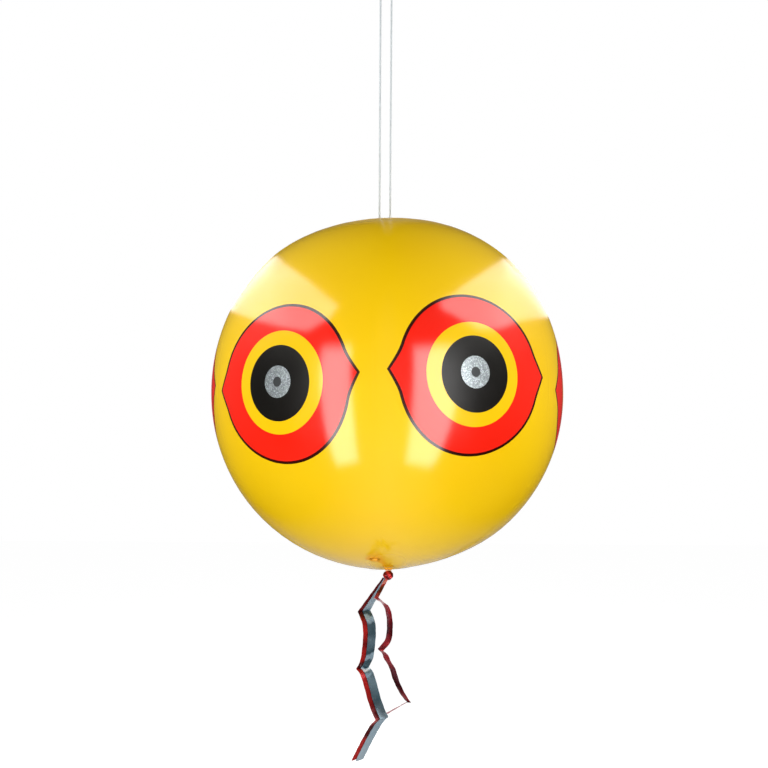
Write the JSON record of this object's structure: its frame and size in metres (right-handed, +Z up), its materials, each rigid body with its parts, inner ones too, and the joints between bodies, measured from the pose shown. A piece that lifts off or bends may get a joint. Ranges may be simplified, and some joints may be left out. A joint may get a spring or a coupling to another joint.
{
  "type": "bird scare balloon",
  "caption": "Inflatable ball with large printed eyes that hangs on a loop of cord over crops, with creased foil streamers on a tab underneath, to scare birds away.",
  "frame": {"origin": "middle of the support that the loop of cord hangs over", "axes": "+Z up, the front of the ball with the seam between two whole eyes towards -Y, +X to the viewer's right"},
  "size_m": [0.4014, 0.3994, 0.9093],
  "materials": {
    "yellow_film": "glossy printed PVC film",
    "clear_vinyl": "soft translucent vinyl",
    "silver_sticker": "holographic metallised film",
    "white_cord": "smooth braided cord",
    "silver_foil": "metallised streamer film, mirror-like",
    "red_foil": "metallised streamer film, mirror-like"
  },
  "bodies": {
    "hang_point": {"cord_crown": "white_cord"},
    "cord_upper": {"cord_upper_left": "white_cord", "cord_knot": "white_cord"},
    "cord_lower": {"cord_left": "white_cord", "cord_right": "white_cord"},
    "balloon": {"gore_1": "yellow_film", "gore_2": "yellow_film", "gore_3": "yellow_film", "gore_4": "yellow_film", "gore_5": "yellow_film", "gore_6": "yellow_film", "eye_disc_1": "silver_sticker", "eye_disc_2": "silver_sticker", "eye_disc_3": "silver_sticker", "eye_disc_4": "silver_sticker", "eye_disc_5": "silver_sticker", "eye_disc_6": "silver_sticker", "top_cap": "yellow_film", "bottom_cap": "yellow_film", "hang_tab": "yellow_film", "tail_patch": "yellow_film", "valve_base": "clear_vinyl", "cord_bight": "white_cord"},
    "plug": {"valve_plug": "clear_vinyl", "plug_strap": "clear_vinyl"},
    "flap": {"valve_flap": "clear_vinyl"},
    "streamer_tab": {"tail_tab": "yellow_film", "tail_knot": "red_foil"},
    "long_streamers": {"tail_silver": "silver_foil", "tail_red": "red_foil"},
    "short_streamer": {"tail_short": "red_foil"}
  },
  "joints": [
    {"name": "swing_sideways", "type": "hinge", "parent": "hang_point", "child": "cord_upper", "pos_m": [0, 0, 0], "axis": [0, 1, 0], "range_deg": [-35, 35], "deforming": ["cord_crown", "cord_upper_left", "cord_knot"]},
    {"name": "swing_fore_aft", "type": "hinge", "parent": "cord_upper", "child": "cord_lower", "pos_m": [0, 0, -0.014], "axis": [1, 0, 0], "range_deg": [-35, 35], "deforming": ["cord_left", "cord_right"]},
    {"name": "twist", "type": "hinge", "parent": "cord_lower", "child": "balloon", "pos_m": [0, 0, -0.15], "axis": [0, 0, 1], "range_deg": [-180, 180], "stiffness_Nm_per_rad": 0.0002, "deforming": ["cord_bight"]},
    {"name": "plug_pull", "type": "slide", "parent": "balloon", "child": "plug", "axis": [-0.057, -0.4135, -0.9087], "range_m": [0, 0.012], "deforming": ["plug_strap"]},
    {"name": "flap_open", "type": "hinge", "parent": "balloon", "child": "flap", "pos_m": [-0.00787, -0.08353, -0.66846], "axis": [0.984, -0.1771, 0.0189], "range_deg": [0, 50]},
    {"name": "tail_swing", "type": "hinge", "parent": "balloon", "child": "streamer_tab", "pos_m": [0.0063, -0.058, -0.6934], "axis": [1, 0, 0], "range_deg": [-45, 20]},
    {"name": "tails_sway", "type": "hinge", "parent": "streamer_tab", "child": "long_streamers", "pos_m": [0.0063, -0.058, -0.7008], "axis": [0, -1, 0], "range_deg": [-30, 30]},
    {"name": "short_tail_sway", "type": "hinge", "parent": "long_streamers", "child": "short_streamer", "pos_m": [0.0063, -0.058, -0.7008], "axis": [0, -1, 0], "range_deg": [0, 30]}
  ]
}
